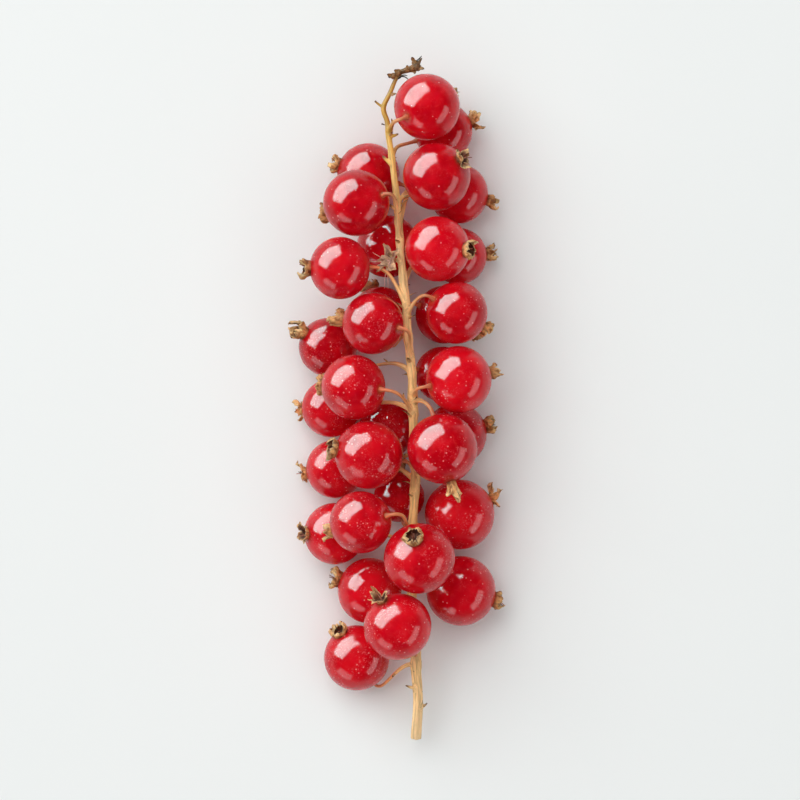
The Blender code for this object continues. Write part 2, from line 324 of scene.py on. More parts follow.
def blade(root, along, face, length, width, curl, seed):
    """A small pointed scale, closed: points, faces and each point's share of its length."""
    along = unit(along)
    face = unit(face - along * np.dot(face, along))
    side = np.cross(along, face)
    around = 2 * BLADE_COLUMNS - 2
    rings, shares = [], []
    for row in range(BLADE_ROWS):
        share = row / (BLADE_ROWS - 1)
        half_width = width * (0.62 + 0.6 * share) * (1 - share ** 1.6) ** 0.8 + 0.03
        middle = root + along * length * share + face * curl * length * share ** 2
        across = np.linspace(-1, 1, BLADE_COLUMNS)
        cup = -0.35 * half_width * across ** 2
        thick = BLADE_THICKNESS * (1 - 0.7 * share) * (1 - 0.75 * across ** 2)
        top = middle + side * (half_width * across)[:, None] + face * (thick - cup)[:, None]
        low = middle + side * (half_width * across)[:, None] + face * (-thick - cup)[:, None]
        rings.append(np.vstack((top, low[::-1][1:-1])))
        shares += [share] * around
    points = np.vstack(rings)
    points = np.vstack((points, rings[0].mean(axis=0), rings[-1].mean(axis=0)))
    shares = np.array(shares + [0.0, 1.0])
    points += waves(points, 1.6, seed) * 0.10 * shares[:, None]
    return points, closed_faces(BLADE_ROWS, around), shares


def keep_off_berries(points, berries, own=None):
    """Points moved out of every berry but their own, and up off the surface."""
    points = points.copy()
    for number, (middle, radius, _) in berries.items():
        if number == own:
            continue
        away = points - middle
        distance = np.linalg.norm(away, axis=1)
        inside = distance < radius + CLEAR
        if inside.any():
            points[inside] = middle + away[inside] / distance[inside, None] * (radius + CLEAR)
    points[:, 2] = np.maximum(points[:, 2], CLEAR)
    return points


# ------------------------------------------------------------------ materials

def new_material(name):
    made = bpy.data.materials.new(name)
    made.use_nodes = True
    tree = made.node_tree
    return made, tree, tree.nodes["Principled BSDF"]


def put(tree, socket, value):
    if isinstance(value, bpy.types.NodeSocket):
        tree.links.new(value, socket)
    else:
        socket.default_value = value


def add_node(tree, kind, settings=None, **inputs):
    """A node with its settings, and its inputs set to values or linked to sockets."""
    made = tree.nodes.new(kind)
    for key, value in (settings or {}).items():
        setattr(made, key, value)
    for key, value in inputs.items():
        put(tree, made.inputs[key.replace("_", " ")], value)
    return made


def calculate(tree, operation, one, two=0.0):
    made = tree.nodes.new("ShaderNodeMath")
    made.operation = operation
    put(tree, made.inputs[0], one)
    put(tree, made.inputs[1], two)
    return made.outputs[0]


def mix_colour(tree, share, one, two):
    made = tree.nodes.new("ShaderNodeMix")
    made.data_type = "RGBA"
    put(tree, made.inputs[0], share)
    put(tree, made.inputs[6], one)
    put(tree, made.inputs[7], two)
    return made.outputs[2]


def spread(tree, value, low, high, to_low=0.0, to_high=1.0):
    """The value taken smoothly from one range to another, and held within it."""
    made = add_node(tree, "ShaderNodeMapRange", {"interpolation_type": "SMOOTHSTEP"},
                    Value=value, From_Min=low, From_Max=high, To_Min=to_low, To_Max=to_high)
    return made.outputs[0]


def read_attribute(tree, name, output):
    return add_node(tree, "ShaderNodeAttribute", {"attribute_name": name}).outputs[output]


def noise_at(tree, vector, scale, detail=2.0, roughness=0.5):
    return add_node(tree, "ShaderNodeTexNoise", Vector=vector, Scale=scale, Detail=detail,
                    Roughness=roughness).outputs["Fac"]


def scaled(tree, vector, factor):
    made = tree.nodes.new("ShaderNodeVectorMath")
    made.operation = "SCALE"
    put(tree, made.inputs[0], vector)
    put(tree, made.inputs["Scale"], factor)
    return made.outputs[0]


# Ripe skin, for the deepest red berry and the lightest: in its darker patches, and in its lighter
DARK_PATCHES = ((0.50, 0.0006, 0.008, 1), (0.72, 0.0015, 0.014, 1))
LIGHT_PATCHES = ((0.68, 0.0015, 0.012, 1), (0.84, 0.0060, 0.020, 1))
MOTTLE_COLOUR = (0.80, 0.040, 0.050, 1)
BLOOM_COLOUR = (0.86, 0.16, 0.17, 1)
VEIN_COLOUR = (0.90, 0.06, 0.05, 1)
SPECK_COLOUR = (0.95, 0.36, 0.34, 1)
FLOWER_SCAR_COLOUR = (0.34, 0.05, 0.02, 1)
STALK_SCAR_COLOUR = (0.55, 0.10, 0.04, 1)
VEINS_HALF = 6.0            # a berry has twice as many veins
WOOD_DOT_COLOUR = (0.10, 0.04, 0.012, 1)


def berry_material():
    """Glossy, translucent skin with faint pale veins from pole to pole, and tiny pale specks.

    The mesh gives each point's direction from the berry's middle (way), and for the whole berry
    its ripeness and how much bloom it has.
    """
    made, tree, shader = new_material("berry_skin")
    way = read_attribute(tree, "way", "Vector")
    ripeness = read_attribute(tree, "ripeness", "Fac")
    offset = add_node(tree, "ShaderNodeCombineXYZ", X=calculate(tree, "MULTIPLY", ripeness, 37.0),
                      Y=calculate(tree, "MULTIPLY", ripeness, 91.0)).outputs[0]
    own = tree.nodes.new("ShaderNodeVectorMath")
    own.operation = "ADD"
    put(tree, own.inputs[0], way)
    put(tree, own.inputs[1], offset)
    own = own.outputs[0]

    # Veins: meridians that sway a little and fade in and out
    parts = add_node(tree, "ShaderNodeSeparateXYZ", Vector=way)
    sway = noise_at(tree, own, 2.2)
    turn = calculate(tree, "ARCTAN2", parts.outputs["Y"], parts.outputs["X"])
    turn = calculate(tree, "MULTIPLY", turn, VEINS_HALF)
    turn = calculate(tree, "ADD", turn, calculate(tree, "MULTIPLY", sway, 5.0))
    off_line = calculate(tree, "ABSOLUTE", calculate(tree, "SINE", turn))
    line = spread(tree, off_line, 0.0, 0.20, 1.0, 0.0)
    vein = calculate(tree, "MULTIPLY", line, spread(tree, noise_at(tree, own, 3.1), 0.42, 0.62))

    # Specks: a dot in some of the cells of a fine net
    cells = add_node(tree, "ShaderNodeTexVoronoi", Vector=own, Scale=8.5)
    dot = spread(tree, cells.outputs["Distance"], 0.12, 0.27, 1.0, 0.0)
    chosen = add_node(tree, "ShaderNodeSeparateColor", Color=cells.outputs["Color"]).outputs["Red"]
    bloom = read_attribute(tree, "bloom", "Fac")
    gathered = spread(tree, noise_at(tree, own, 1.1), 0.35, 0.65, 0.05, 0.50)
    least = calculate(tree, "SUBTRACT", 0.95, calculate(tree, "MULTIPLY", gathered, bloom))
    speck = calculate(tree, "MULTIPLY", dot, calculate(tree, "GREATER_THAN", chosen, least))
    grains = spread(tree, noise_at(tree, own, 19.0, 2.0, 0.6), 0.54, 0.66)
    film = calculate(tree, "MULTIPLY", grains, spread(tree, noise_at(tree, own, 1.7), 0.42, 0.62))
    film = calculate(tree, "MULTIPLY", film, bloom)

    # Colours, from the flesh outward
    clouds = noise_at(tree, own, 1.5, 3.0)
    dark = mix_colour(tree, ripeness, *DARK_PATCHES)
    light = mix_colour(tree, ripeness, *LIGHT_PATCHES)
    colour = mix_colour(tree, spread(tree, clouds, 0.36, 0.64), dark, light)
    mottle = spread(tree, noise_at(tree, own, 6.5, 4.0, 0.6), 0.48, 0.72, 0.0, 0.32)
    flower_scar = spread(tree, parts.outputs["Z"], 0.955, 0.990, 0.0, 0.75)
    stalk_scar = spread(tree, parts.outputs["Z"], -0.996, -0.975, 0.7, 0.0)
    for share, tint in (
        (mottle, MOTTLE_COLOUR),
        (calculate(tree, "MULTIPLY", film, 0.70), BLOOM_COLOUR),
        (calculate(tree, "MULTIPLY", vein, 0.28), VEIN_COLOUR),
        (calculate(tree, "MULTIPLY", speck, 0.80), SPECK_COLOUR),
        (flower_scar, FLOWER_SCAR_COLOUR),
        (stalk_scar, STALK_SCAR_COLOUR),
    ):
        colour = mix_colour(tree, share, colour, tint)
    put(tree, shader.inputs["Base Color"], colour)
    put(tree, shader.inputs["Roughness"], spread(tree, clouds, 0.3, 0.7, 0.07, 0.14))
    shader.inputs["IOR"].default_value = 1.40
    shader.inputs["Transmission Weight"].default_value = 0.22
    shader.inputs["Subsurface Weight"].default_value = 0.8
    shader.inputs["Subsurface Radius"].default_value = (1.0, 0.10, 0.08)
    shader.inputs["Subsurface Scale"].default_value = 2.2 * MM
    height = calculate(tree, "ADD", noise_at(tree, own, 5.0, 2.0),
                       calculate(tree, "MULTIPLY", speck, 0.6))
    bump = add_node(tree, "ShaderNodeBump", Strength=0.25, Distance=0.05 * MM, Height=height)
    put(tree, shader.inputs["Normal"], bump.outputs[0])
    return made


def tinted_material(name, roughness, fibres, relief, dots=False):
    """A woody or papery surface: its tint is in the mesh, and fine fibres run along it."""
    made, tree, shader = new_material(name)
    tint = read_attribute(tree, "tint", "Vector")
    fibre = read_attribute(tree, "fibre", "Vector")
    streaks = noise_at(tree, fibre, fibres, 5.0, 0.6)
    patches = noise_at(tree, fibre, fibres * 0.25, 3.0)
    colour = scaled(tree, tint, spread(tree, streaks, 0.3, 0.7, 0.60, 1.24))
    colour = mix_colour(tree, spread(tree, patches, 0.5, 0.78, 0.0, 0.5), colour,
                        scaled(tree, tint, 0.42))
    if dots:
        place = add_node(tree, "ShaderNodeTexCoord").outputs["Object"]
        cells = add_node(tree, "ShaderNodeTexVoronoi", Vector=place, Scale=0.9 / MM)
        chosen = add_node(tree, "ShaderNodeSeparateColor", Color=cells.outputs["Color"])
        dot = spread(tree, cells.outputs["Distance"], 0.06, 0.16, 0.8, 0.0)
        dot = calculate(tree, "MULTIPLY", dot, spread(tree, chosen.outputs["Red"], 0.5, 0.6))
        colour = mix_colour(tree, dot, colour, WOOD_DOT_COLOUR)
    put(tree, shader.inputs["Base Color"], colour)
    put(tree, shader.inputs["Roughness"],
        spread(tree, streaks, 0.3, 0.7, roughness - 0.12, roughness + 0.08))
    shader.inputs["Specular IOR Level"].default_value = 0.15
    shader.inputs["Subsurface Weight"].default_value = 0.2
    shader.inputs["Subsurface Radius"].default_value = (1.0, 0.5, 0.25)
    shader.inputs["Subsurface Scale"].default_value = 0.4 * MM
    bump = add_node(tree, "ShaderNodeBump", Strength=0.8, Distance=relief * MM, Height=streaks)
    put(tree, shader.inputs["Normal"], bump.outputs[0])
    return made


# ------------------------------------------------------------------ berries

BERRY_SIDES = 72
BERRY_RINGS = 46
BLOOM = ((1, 6, 18, 33), (0.15, 0.35, 0.85, 1.0))     # berry numbers, and how speckled they are
BERRY_SQUASH = (-0.03, 0.005)          # shares of the radius, from here to BERRY_POLE
BERRY_SWELL = (0.002, 0.006)
STALK_HOLLOW = (0.05, 0.20)            # how deep, and how wide in radians
FLOWER_COLLAR = (0.020, 0.07, 0.14)    # how high, how wide, and how far from the pole
BERRY_POLE = 0.95


def berry_points(radius, seed):
    """Points of a berry about its own middle, its flower end at +Z, and their directions.

    It is a little uneven, drawn in where the stalk joins and raised where the flower does.
    """
    chance = random.Random(seed)
    squash = chance.uniform(*BERRY_SQUASH)
    swells = [(chance.randint(1, 3), chance.uniform(0, math.tau), chance.uniform(*BERRY_SWELL))
              for _ in range(3)]
    hollow, hollow_width = STALK_HOLLOW
    collar, collar_width, collar_place = FLOWER_COLLAR
    turns = np.arange(BERRY_SIDES) * math.tau / BERRY_SIDES
    points, ways = [], []
    for ring in range(1, BERRY_RINGS):
        down = math.pi * ring / BERRY_RINGS
        way = np.column_stack((math.sin(down) * np.cos(turns), math.sin(down) * np.sin(turns),
                               np.full(BERRY_SIDES, math.cos(down))))
        reach = np.full(BERRY_SIDES, 1.0 + squash * math.cos(down) ** 2)
        for count, start, size in swells:
            reach += size * np.sin(count * turns + start) * math.sin(down) ** 2
        reach -= hollow * math.exp(-((math.pi - down) / hollow_width) ** 2)
        reach += collar * math.exp(-((down - collar_place) / collar_width) ** 2)
        points.append(way * (radius * reach)[:, None])
        ways.append(way)
    poles = np.array(((0, 0, 1.0), (0, 0, -1.0)))
    ways.append(poles)
    points.append(poles * radius * BERRY_POLE)
    return np.vstack(points), np.vstack(ways)


def make_berry(number, facts, finish):
    middle, radius, axis = facts
    points, ways = berry_points(radius, number)
    turn = np.array(Vector(axis).to_track_quat("Z", "Y").to_matrix())
    points = points @ turn.T + middle
    points[:, 2] = np.maximum(points[:, 2], CLEAR)
    faces = [face[::-1] for face in closed_faces(BERRY_RINGS - 1, BERRY_SIDES)]
    ripeness = random.Random(number * 17).uniform(0.0, 1.0)
    bloom = np.interp(number, *BLOOM)
    name = f"berry_{number:02d}"
    attributes = {"way": ways, "ripeness": np.full(len(ways), ripeness),
                  "bloom": np.full(len(ways), bloom)}
    return add_piece(f"{name}_skin", points, faces, finish, [name], attributes, middle)


# ------------------------------------------------------------------ stem

STEM_SIDES = 32
STALK_SIDES = 20
STUB_SIDES = 14
VOXEL = 0.105                # millimetres: how finely stem and stalks are grown together
STEM_TINTS = (               # along the route: y, and the tint there
    (-47.2, (0.95, 0.66, 0.35)),
    (-38.0, (0.93, 0.59, 0.26)),
    (-20.0, (0.90, 0.53, 0.20)),
    (0.0, (0.93, 0.59, 0.25)),
    (18.0, (0.95, 0.64, 0.30)),
    (28.0, (0.84, 0.53, 0.17)),
    (34.0, (0.64, 0.37, 0.070)),
    (39.5, (0.50, 0.27, 0.045)),
    (41.5, (0.20, 0.10, 0.035)),
    (44.0, (0.15, 0.075, 0.035)),
)
STALK_TINT = (0.84, 0.40, 0.16)
STALK_END_TINT = (0.52, 0.07, 0.035)
STUB_END_TINT = (0.16, 0.07, 0.03)
STEM_FLUTES = 0.055                    # how deep the stem is grooved, as a share of its radius
STALK_FLUTES = 0.05
ROUGHNESS = 0.10                       # how much the thickness of stem and stalks wavers
STALK_SWELL = (0.16, 0.65)             # at each stalk: by what share, and how far along, in mm
STEM_WANDER = (0.16, 0.0, 0.12)        # millimetres off the solid's route
STALK_RADIUS = (0.22, 0.27)
STALK_FOOT = 0.22                      # how much thicker a stalk is where it leaves the stem
STALK_HEAD = (0.15, 0.38)              # how much thicker at the berry, and how far from it
INTO_BERRY = 0.90                      # where a stalk ends within its berry


def stem_tint(along):
    places = [row[0] for row in STEM_TINTS]
    tints = np.array([row[1] for row in STEM_TINTS])
    return np.column_stack([np.interp(along, places, tints[:, way]) for way in range(3)])


def stem_place(stem, along):
    """The stem's middle, its direction towards the tip and its radius, at a place along Y."""
    index = int(np.clip(np.searchsorted(stem[:, 1], along), 1, len(stem) - 1))
    low, high = stem[index - 1], stem[index]
    share = (along - low[1]) / (high[1] - low[1])
    spot = low + (high - low) * share
    return spot[:3], unit((high - low)[:3]), spot[3]


def stalk_guides(root, tip_ward, facts):
    """The four guide points of a stalk's curve, from inside the stem to its berry."""
    middle, radius, axis = facts
    pole = middle - axis * (radius * (1 - STALK_DIMPLE) + STALK_GAP)
    reach = np.linalg.norm(pole - root)
    leave = root + unit(unit(pole - root) + STALK_TIPWARD * tip_ward) * reach * STALK_LEAVE
    arrive = pole - axis * reach * STALK_ARRIVE
    leave[2] = max(leave[2], LOWEST_STALK)
    arrive[2] = max(arrive[2], LOWEST_STALK)
    return root, leave, arrive, pole


class Shoot:
    """One tube of the stem piece, with what its surface needs: tints and lengths along it.

    hidden is how much of its start lies inside the stem, and gives no tints.
    """

    def __init__(self, points, radii, sides, tints, flutes=0.0, hidden=0.0, seed=0):
        self.points = np.asarray(points, dtype=float)
        self.tints = np.asarray(tints, dtype=float)
        self.lengths = lengths_along(self.points)
        self.hidden = hidden
        self.mesh = tube(self.points, radii, sides, flutes, seed=seed)


def main_shoot(stem, shift):
    """The main stem, swollen at each stalk and a little crooked."""
    radii = stem[:, 3].copy()
    swell, along = STALK_SWELL
    for place in STALK_PLACES:
        radii *= 1 + swell * np.exp(-((stem[:, 1] - (place + shift[1])) / along) ** 2)
    rough = waves(stem[:, :3], 0.45, 3)
    radii *= 1 + ROUGHNESS * rough[:, 0]
    middle = stem[:, :3] + waves(stem[:, :3], 0.25, 5) * np.array(STEM_WANDER)
    return Shoot(middle, radii, STEM_SIDES, stem_tint(stem[:, 1] - shift[1]), flutes=STEM_FLUTES)


def stalk_shoot(number, stem, shift, facts):
    place = STALK_PLACES[number - 1] + shift[1]
    root, tip_ward, stem_radius = stem_place(stem, place)
    shares = np.linspace(0, 1, 30)
    points = bezier(stalk_guides(root, tip_ward, facts), shares)
    middle, radius, axis = facts
    inside = middle - axis * radius * INTO_BERRY
    points = np.vstack((points, 0.5 * (points[-1] + inside), inside))
    shares = np.concatenate((shares, (1.0, 1.0)))
    thin = random.Random(number * 5).uniform(*STALK_RADIUS)
    head, head_reach = STALK_HEAD
    lengths = lengths_along(points)
    to_skin = lengths - lengths[-2]
    radii = thin + STALK_FOOT * (1 - shares) ** 5 + head * np.exp(-(to_skin / head_reach) ** 2)
    radii *= 1 + ROUGHNESS * waves(points, 0.7, number)[:, 0]
    foot = stem_tint(np.full(len(points), place - shift[1]))
    tints = blend(foot, STALK_TINT, smoothstep(shares * 1.5))
    tints = blend(tints, STALK_END_TINT, 0.75 * smoothstep((shares - 0.55) / 0.45))
    return Shoot(points, radii, STALK_SIDES, tints, flutes=STALK_FLUTES,
                 hidden=stem_radius * 0.9, seed=number)


def stub_shoot(index, row, stem, shift):
    """A short bare stalk, which thins towards its dried end."""
    along, turn, rise, length, thick = row
    root, tip_ward, stem_radius = stem_place(stem, along + shift[1])
    way = unit(heading(turn, rise) + 0.35 * tip_ward)
    shares = np.linspace(0, 1, 14)
    reach = stem_radius + length
    points = root + way * (shares * reach)[:, None]
    points += tip_ward * (0.35 * length * shares ** 2)[:, None]
    radii = thick * (1.25 - 0.65 * shares) * (1 + 0.35 * waves(points, 1.1, index + 50)[:, 1])
    foot = stem_tint(np.full(len(points), along))
    tints = blend(foot, STUB_END_TINT, smoothstep((shares - 0.6) / 0.4))
    return Shoot(points, radii, STUB_SIDES, tints, hidden=stem_radius * 0.9, seed=index)


def largest_part(points, faces):
    """The biggest connected part of a mesh, so that no stray crumb is kept."""
    faces = np.array(faces)
    part = np.arange(len(points))
    while True:
        lowest = part.copy()
        for column in range(faces.shape[1]):
            np.minimum.at(lowest, faces[:, column], part[faces].min(axis=1))
        lowest = lowest[lowest]
        if (lowest == part).all():
            break
        part = lowest
    kept = part == np.bincount(part).argmax()
    place = np.cumsum(kept) - 1
    return points[kept], place[faces[kept[faces[:, 0]]]]


def grown_together(shoots):
    """One closed surface round all the tubes, with soft joins, in millimetres."""
    points, faces, count = [], [], 0
    for shoot in shoots:
        points.append(shoot.mesh[0])
        faces += [tuple(spot + count for spot in face) for face in shoot.mesh[1]]
        count += len(shoot.mesh[0])
    mesh = bpy.data.meshes.new("grown")
    mesh.from_pydata([tuple(point) for point in np.vstack(points)], [], faces)
    helper = bpy.data.objects.new("grown", mesh)
    bpy.context.scene.collection.objects.link(helper)
    remesh = helper.modifiers.new("remesh", "REMESH")
    remesh.mode = "VOXEL"
    remesh.voxel_size = VOXEL
    soften = helper.modifiers.new("soften", "SMOOTH")
    soften.factor = 0.5
    soften.iterations = 3
    bpy.context.view_layer.update()
    seen = helper.evaluated_get(bpy.context.evaluated_depsgraph_get())
    made = seen.to_mesh()
    flat = np.zeros(len(made.vertices) * 3)
    made.vertices.foreach_get("co", flat)
    faces = [tuple(face.vertices) for face in made.polygons]
    seen.to_mesh_clear()
    bpy.data.objects.remove(helper, do_unlink=True)
    bpy.data.meshes.remove(mesh)
    return largest_part(flat.reshape(-1, 3), faces)


def surface_facts(points, shoots):
    """Each point's tint and fibre place, from the nearest tube's middle line."""
    rows = []
    for index, shoot in enumerate(shoots):
        _, across, up = frames_along(shoot.points)
        for spot in range(len(shoot.points)):
            if shoot.lengths[spot] >= shoot.hidden:
                rows.append((index, spot, across[spot], up[spot]))
    tree = KDTree(len(rows))
    for row, (index, spot, _, _) in enumerate(rows):
        tree.insert(Vector(shoots[index].points[spot]), row)
    tree.balance()
    tints, fibres = np.zeros_like(points), np.zeros_like(points)
    for place, point in enumerate(points):
        row = tree.find(Vector(point))[1]
        index, spot, across, up = rows[row]
        shoot = shoots[index]
        off = point - shoot.points[spot]
        tints[place] = shoot.tints[spot]
        length = shoot.lengths[spot] + np.dot(off, np.cross(across, up))
        fibres[place] = (np.dot(off, across) + 3.0 * index, np.dot(off, up), length * 0.10)
    return tints, fibres


def make_stem(stem, shift, berries, finish):
    shoots = [main_shoot(stem, shift)]
    shoots += [stalk_shoot(number, stem, shift, facts) for number, facts in berries.items()]
    shoots += [stub_shoot(index, row, stem, shift) for index, row in enumerate(STUBS)]
    points, faces = grown_together(shoots)
    tints, fibres = surface_facts(points, shoots)
    points[:, 2] = np.maximum(points[:, 2], CLEAR)
    add_piece("stem_and_stalks", points, faces, finish, ["stem"],
              {"tint": tints, "fibre": fibres})


# ------------------------------------------------------------------ bracts and withered tip

BRACT_TINT = (0.62, 0.38, 0.15)
BRACT_TIP_TINT = (0.10, 0.045, 0.02)
THREAD_TINT = (0.03, 0.018, 0.012)
THREAD_SIDES = 8
LUMP_RINGS = 14
LUMP_SIDES = 20
BRACT_LEAN = (0.5, 1.1)                # how far towards the tip a bract leans
BRACT_LENGTH = (1.0, 1.6)
BRACT_WIDTH = (0.28, 0.40)
BRACT_CURL = (-0.5, 0.2)
SMALL_BRACTS = 0.6                     # the share of stalks with a small bract halfway along
SMALL_BRACT_LENGTH = (0.5, 0.8)
SMALL_BRACT_WIDTH = 0.16

# The withered tip, in millimetres on the stem's route: shrunken buds with their sizes, scales
# with their heading, rise and length, and the points of its threads
BUD_BROWN = (0.36, 0.18, 0.065)
BUD_DARK = (0.20, 0.095, 0.04)
BUDS = (
    (-1.45, 41.25, 9.3, 0.44, BUD_BROWN), (-0.75, 41.70, 9.2, 0.52, BUD_BROWN),
    (0.35, 42.10, 9.15, 0.42, BUD_BROWN), (1.15, 42.30, 9.05, 0.52, BUD_BROWN),
    (1.75, 42.45, 8.95, 0.62, BUD_DARK), (1.45, 43.00, 8.9, 0.42, BUD_BROWN),
)
SCALES = (
    (-1.5, 41.3, 9.4, 165, 20, 0.9), (-0.9, 41.8, 9.4, 120, 30, 0.7),
    (0.5, 42.3, 9.4, 80, 40, 0.7), (1.9, 42.4, 9.2, -25, 10, 0.9),
    (1.4, 43.1, 9.0, 110, 20, 0.9), (1.3, 42.1, 9.0, -80, 15, 0.7),
    (-1.75, 38.8, 9.6, -12, 30, 1.1),
)
SCALE_WIDTH = 0.32
SCALE_TINTS = ((0.38, 0.21, 0.08), (0.09, 0.045, 0.02))
THREADS = (
    ((1.6, 43.0, 9.0), (1.75, 43.3, 9.1), (2.05, 43.6, 9.2), (2.35, 43.9, 9.35)),
    ((-0.75, 40.9, 9.3), (-0.3, 41.15, 9.6), (0.15, 41.1, 9.7), (0.5, 40.85, 9.6),
     (0.55, 40.65, 9.5)),
    ((-0.6, 41.0, 9.2), (-0.1, 41.35, 9.4), (0.45, 41.3, 9.5)),
    ((-1.6, 41.2, 9.3), (-1.9, 41.05, 9.5), (-2.1, 41.15, 9.6)),
    ((-2.95, 34.9, 9.6), (-2.7, 34.8, 9.65), (-2.3, 34.7, 9.7)),
)
THREAD_RADII = (0.11, 0.09, 0.07, 0.05)

# A withered flower beside the stem, which never bore a berry
LOST_FLOWER = (-1.8, 16.7, 11.0)
LOST_FLOWER_WAY = (150, 50)            # heading and rise in degrees
LOST_FLOWER_TINT = (0.62, 0.36, 0.25)
LOST_PETAL_TINTS = ((0.56, 0.33, 0.20), (0.66, 0.44, 0.30))
LOST_PETAL_WIDTH = 0.42
LOST_THREAD_HEADINGS = (178, 200, 222, 240)
LOST_THREAD_RADII = (0.07, 0.06, 0.05, 0.035)
LOST_THREAD_TINT = (0.72, 0.40, 0.32)


def add_blade(shape, root, along, face, length, width, curl, seed, tint, tip_tint):
    points, faces, shares = blade(root, along, face, length, width, curl, seed)
    tints = blend(tint, tip_tint, smoothstep((shares - 0.35) / 0.6))
    side = np.cross(unit(along), unit(face))
    fibre = np.column_stack((points @ side, points @ face, shares * length * 0.25 + seed))
    shape.add(points, faces, tints, fibre)


def add_thread(shape, points, radii, tint, seed):
    points = smooth_points(points, 5)
    radii = np.interp(np.linspace(0, 1, len(points)), np.linspace(0, 1, len(radii)), radii)
    made, faces = tube(points, radii, THREAD_SIDES)
    made += waves(made, 2.2, seed) * 0.03
    shape.add(made, faces, tint, made * (1.0, 1.0, 0.4) + seed)


def add_lump(shape, middle, size, seed, tint):
    """A withered bud: a shrunken, creased lump with its middle at a point."""
    ways = []
    for ring in range(1, LUMP_RINGS):
        down = math.pi * ring / LUMP_RINGS
        for side in range(LUMP_SIDES):
            turn = math.tau * side / LUMP_SIDES
            ways.append((math.sin(down) * math.cos(turn), math.sin(down) * math.sin(turn),
                         math.cos(down)))
    ways = np.array(ways + [(0, 0, 1), (0, 0, -1)])
    coarse, fine = waves(ways, 1.3, seed), waves(ways, 3.6, seed + 9)
    reach = 1 + 0.35 * coarse[:, 0] - 0.30 * np.abs(fine[:, 1])
    points = middle + ways * size * reach[:, None] + 0.15 * size * coarse
    faces = [face[::-1] for face in closed_faces(LUMP_RINGS - 1, LUMP_SIDES)]
    # The creases are painted darker by their depth: painted shade in them
    tints = blend(tint, np.array(tint) * 0.4, np.clip(np.abs(fine[:, 1]) * 2.0, 0, 1))
    shape.add(points, faces, tints, points * 0.8 + seed)


def make_bracts(stem, shift, berries, finish):
    """A small pointed scale under each stalk, and some on the stalks themselves."""
    shape = Shape()
    for number, facts in berries.items():
        chance = random.Random(number * 31)
        place = STALK_PLACES[number - 1] + shift[1]
        root, tip_ward, radius = stem_place(stem, place - 0.55)
        guides = stalk_guides(*stem_place(stem, place)[:2], facts)
        out = guides[1] - guides[0]
        out = unit(out - tip_ward * np.dot(out, tip_ward))
        foot = root + out * radius * 0.85
        along = out + tip_ward * chance.uniform(*BRACT_LEAN)
        length = chance.uniform(*BRACT_LENGTH)
        width = chance.uniform(*BRACT_WIDTH)
        curl = chance.uniform(*BRACT_CURL)
        add_blade(shape, foot, along, -out + 0.8 * tip_ward, length, width, curl,
                  number, BRACT_TINT, BRACT_TIP_TINT)
        if chance.random() < SMALL_BRACTS:
            spot, after = bezier(guides, (0.40, 0.44))
            way = unit(after - spot)
            side = unit(np.cross(way, heading(chance.uniform(0, 360), 10)))
            length = chance.uniform(*SMALL_BRACT_LENGTH)
            add_blade(shape, spot + side * 0.22, side + way * 0.9, way, length,
                      SMALL_BRACT_WIDTH, 0.2, number + 40, BRACT_TINT, BRACT_TIP_TINT)
    points = keep_off_berries(shape.all_points(), berries)
    add_piece("bracts", points, shape.faces, finish, attributes=shape.attributes())


def add_lost_flower(shape, middle):
    """A withered flower with limp petals, and pale threads that hang to one side."""
    chance = random.Random(5)
    points, faces, tints, fibre = crown("star", chance)
    turn = np.array(Vector(heading(*LOST_FLOWER_WAY)).to_track_quat("Z", "Y").to_matrix())
    shape.add(points @ turn.T + middle, faces, blend(tints, LOST_FLOWER_TINT, 0.45), fibre)
    for seed in range(4):
        turn = LOST_FLOWER_WAY[0] + 50 * seed
        length = chance.uniform(1.3, 1.9)
        add_blade(shape, middle, heading(turn, 15), heading(turn, 80), length, LOST_PETAL_WIDTH,
                  0.3, seed + 90, *LOST_PETAL_TINTS)
    for seed, turn in enumerate(LOST_THREAD_HEADINGS):
        way, aside = heading(turn, 4), heading(turn + 90, 0)
        bend = chance.uniform(-0.5, 0.5)
        points = []
        for reach in (0.0, 0.9, 1.8, 2.4 + 0.3 * seed):
            drop = (0, 0, 0.2 - 0.06 * reach ** 2)
            points.append(middle + way * reach + aside * bend * reach ** 1.5 + drop)
        add_thread(shape, points, LOST_THREAD_RADII, LOST_THREAD_TINT, seed + 60)


def make_withered_tip(shift, berries, finish):
    """The stem's last flowers, which never set fruit: shrunken buds, scales and black threads."""
    shape = Shape()
    for seed, (x, y, z, size, tint) in enumerate(BUDS):
        add_lump(shape, np.array((x, y, z)) + shift, size, seed + 3, tint)
    for seed, (x, y, z, turn, rise, length) in enumerate(SCALES):
        add_blade(shape, np.array((x, y, z)) + shift, heading(turn, rise), heading(turn + 80, 75),
                  length, SCALE_WIDTH, 0.4, seed + 70, *SCALE_TINTS)
    for seed, points in enumerate(THREADS):
        add_thread(shape, np.array(points) + shift, THREAD_RADII, THREAD_TINT, seed + 20)
    add_lost_flower(shape, np.array(LOST_FLOWER) + shift)
    points = keep_off_berries(shape.all_points(), berries)
    add_piece("withered_tip", points, shape.faces, finish, attributes=shape.attributes())


# ------------------------------------------------------------------ dried flowers

FLOWER_COLUMNS = 60
WALL_ROWS = 12
